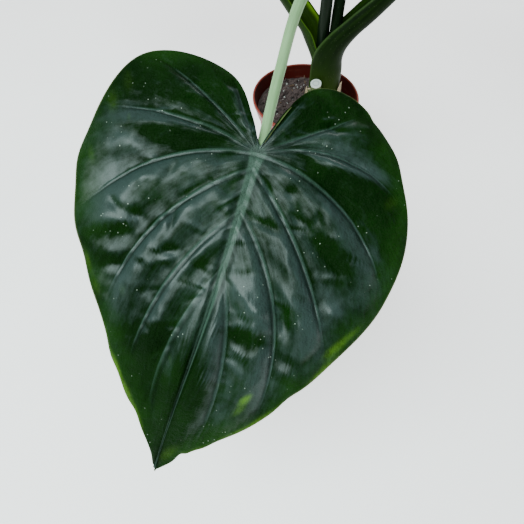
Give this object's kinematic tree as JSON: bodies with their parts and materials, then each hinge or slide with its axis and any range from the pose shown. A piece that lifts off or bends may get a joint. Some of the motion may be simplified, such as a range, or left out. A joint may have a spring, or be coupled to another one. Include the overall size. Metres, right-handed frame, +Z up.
{
  "type": "potted chinese taro",
  "caption": "Heart-leaved aroid house plant in a round plastic nursery pot of soil, with quilted glossy leaves that hang from arching stalks.",
  "frame": {"origin": "centre of the pot's base, on the surface that it stands on", "axes": "+Z up along the pot's axis; -Y is the front, where the largest leaf hangs over the pot's edge; +X right"},
  "size_m": [0.6695, 0.6271, 0.4344],
  "materials": {
    "pot_plastic": "terracotta red, satin",
    "soil": "dark peat with white grains, matt",
    "corm": "brown, fibrous",
    "dry_sheath": "dry, papery, tan to green",
    "stalk": "smooth, fleshy, satin",
    "blade": "dark green, glossy, with paler veins"
  },
  "bodies": {
    "root": {"pot": "pot_plastic", "soil": "soil", "corm": "corm", "old_leaf_foot": "dry_sheath", "leaf_1_stalk": "stalk", "leaf_1_blade": "blade", "leaf_2_stalk": "stalk", "leaf_2_blade": "blade", "leaf_3_stalk": "stalk", "leaf_3_blade": "blade", "leaf_4_stalk": "stalk", "leaf_4_blade": "blade"}
  },
  "joints": []
}
